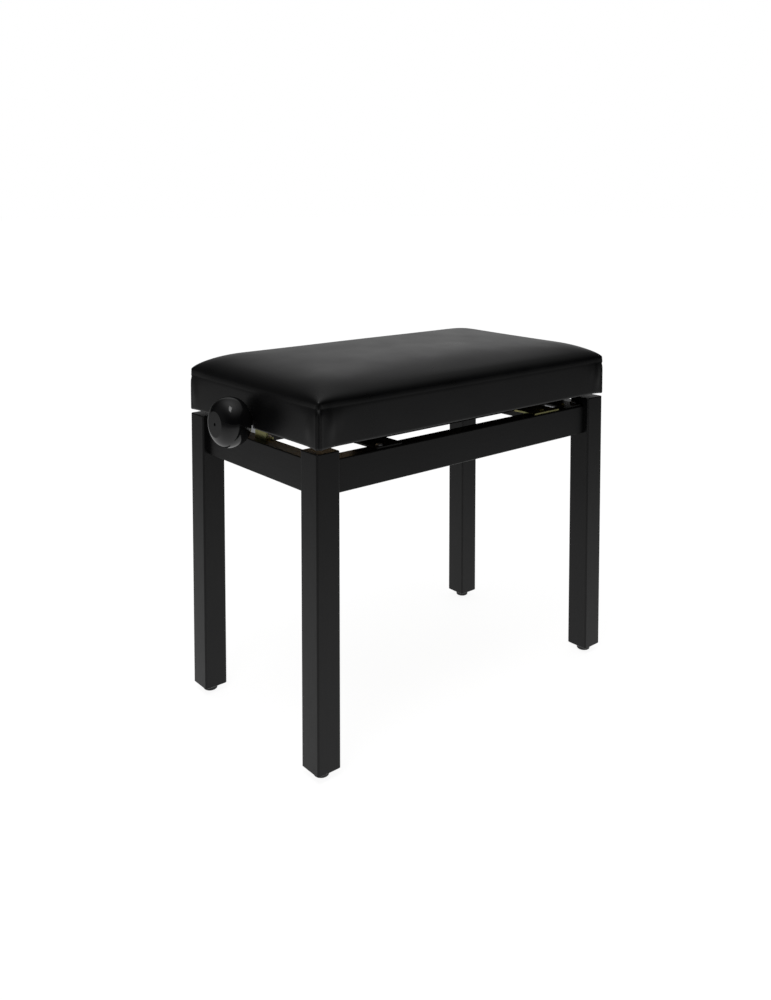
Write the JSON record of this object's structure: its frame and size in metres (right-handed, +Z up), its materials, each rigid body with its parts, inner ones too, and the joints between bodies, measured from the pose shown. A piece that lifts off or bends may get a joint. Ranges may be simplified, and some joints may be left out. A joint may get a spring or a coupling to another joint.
{
  "type": "piano bench",
  "caption": "Rectangular padded piano bench on four square legs, raised on two steel scissors by a threaded rod with a ball knob at one end.",
  "frame": {"origin": "on the floor, under the middle of the bench's overall box with its knob", "axes": "+X along the bench, away from the knob; +Y from the front long side to the rear one; +Z up"},
  "size_m": [0.605, 0.316, 0.4965],
  "materials": {
    "black_painted_wood": "black satin lacquer",
    "foot_nylon": "moulded, matt",
    "zinc_steel": "bright zinc plated",
    "black_steel": "black powder coat",
    "yellow_zinc_steel": "yellow chromate zinc plated",
    "bush_nylon": "natural nylon",
    "nut_bronze": "machined",
    "knob_plastic": "high gloss",
    "raw_pine": "sawn, unfinished",
    "plywood": "unfinished",
    "foam": "open-cell foam",
    "black_vinyl": "satin grained vinyl"
  },
  "bodies": {
    "base": {"leg_front_left": "black_painted_wood", "leg_front_right": "black_painted_wood", "leg_rear_left": "black_painted_wood", "leg_rear_right": "black_painted_wood", "foot_front_left": "foot_nylon", "foot_front_right": "foot_nylon", "foot_rear_left": "foot_nylon", "foot_rear_right": "foot_nylon", "foot_screws": "zinc_steel", "apron_front": "black_painted_wood", "apron_rear": "black_painted_wood", "apron_left": "black_painted_wood", "apron_right": "black_painted_wood", "corner_plates": "zinc_steel", "corner_plate_screws": "zinc_steel", "hanger_bolts": "zinc_steel", "hanger_nuts": "zinc_steel", "base_rail_front": "black_steel", "base_rail_rear": "black_steel", "tie_plates": "yellow_zinc_steel", "base_cross_ties": "black_steel", "rail_bolts": "zinc_steel", "tie_plate_screws": "yellow_zinc_steel", "lower_pivot_pins": "zinc_steel", "shaft_bracket": "yellow_zinc_steel", "shaft_bush": "bush_nylon", "bracket_screws": "zinc_steel"},
    "height_screw": {"threaded_rod": "zinc_steel", "knob": "knob_plastic", "knob_set_screw": "zinc_steel", "thrust_collar": "zinc_steel", "rod_end_nut": "zinc_steel"},
    "seat": {"seat_rail_front": "black_steel", "seat_rail_rear": "black_steel", "seat_rail_screws": "zinc_steel", "upper_pivot_pins": "zinc_steel", "seat_skirt_front": "raw_pine", "seat_skirt_rear": "raw_pine", "seat_skirt_left": "raw_pine", "seat_skirt_right": "raw_pine", "seat_board": "plywood", "seat_foam": "foam", "seat_cover": "black_vinyl"},
    "left_outer_arms": {"left_outer_arm_front": "yellow_zinc_steel", "left_outer_arm_rear": "yellow_zinc_steel", "left_cross_shaft": "zinc_steel", "left_arm_rivets": "zinc_steel"},
    "left_inner_arms": {"left_inner_arm_front": "yellow_zinc_steel", "left_inner_arm_rear": "yellow_zinc_steel"},
    "left_nut_bar": {"left_nut_bar": "black_steel", "left_lift_nut": "nut_bronze"},
    "right_outer_arms": {"right_outer_arm_front": "yellow_zinc_steel", "right_outer_arm_rear": "yellow_zinc_steel", "right_cross_shaft": "zinc_steel", "right_arm_rivets": "zinc_steel"},
    "right_inner_arms": {"right_inner_arm_front": "yellow_zinc_steel", "right_inner_arm_rear": "yellow_zinc_steel"},
    "right_nut_bar": {"right_nut_bar": "black_steel", "right_lift_nut": "nut_bronze"}
  },
  "joints": [
    {"name": "left_lower_pivot", "type": "hinge", "parent": "base", "child": "left_outer_arms", "pos_m": [-0.1405, 0, 0.426], "axis": [0, -1, 0], "range_deg": [0, 29.5]},
    {"name": "left_arm_rivet", "type": "hinge", "parent": "left_outer_arms", "child": "left_inner_arms", "pos_m": [-0.04743, 0, 0.43496], "axis": [0, -1, 0], "range_deg": [-59, 0]},
    {"name": "left_nut_journal", "type": "hinge", "parent": "left_inner_arms", "child": "left_nut_bar", "pos_m": [0.04564, 0, 0.426], "axis": [0, -1, 0], "range_deg": [0, 29.5]},
    {"name": "right_lower_pivot", "type": "hinge", "parent": "base", "child": "right_outer_arms", "pos_m": [0.2595, 0, 0.426], "axis": [0, 1, 0], "range_deg": [0, 29.5]},
    {"name": "right_arm_rivet", "type": "hinge", "parent": "right_outer_arms", "child": "right_inner_arms", "pos_m": [0.16643, 0, 0.43496], "axis": [0, 1, 0], "range_deg": [-59, 0]},
    {"name": "right_nut_journal", "type": "hinge", "parent": "right_inner_arms", "child": "right_nut_bar", "pos_m": [0.07336, 0, 0.426], "axis": [0, 1, 0], "range_deg": [0, 29.5]},
    {"name": "seat_pivot", "type": "hinge", "parent": "left_inner_arms", "child": "seat", "pos_m": [-0.1405, 0, 0.44392], "axis": [0, -1, 0], "range_deg": [0, 29.5]},
    {"name": "height_screw_turn", "type": "hinge", "parent": "base", "child": "height_screw", "pos_m": [-0.2535, 0, 0.426], "axis": [1, 0, 0], "range_deg": [0, 3960]}
  ],
  "couplings": [
    {"joint": "left_arm_rivet", "follows": "left_lower_pivot", "ratio": -2},
    {"joint": "left_nut_journal", "follows": "left_lower_pivot", "ratio": 1},
    {"joint": "right_lower_pivot", "follows": "left_lower_pivot", "ratio": 1},
    {"joint": "right_arm_rivet", "follows": "left_lower_pivot", "ratio": -2},
    {"joint": "right_nut_journal", "follows": "left_lower_pivot", "ratio": 1},
    {"joint": "seat_pivot", "follows": "left_lower_pivot", "ratio": 1},
    {"joint": "height_screw_turn", "follows": "left_lower_pivot", "ratio": 134.24}
  ]
}
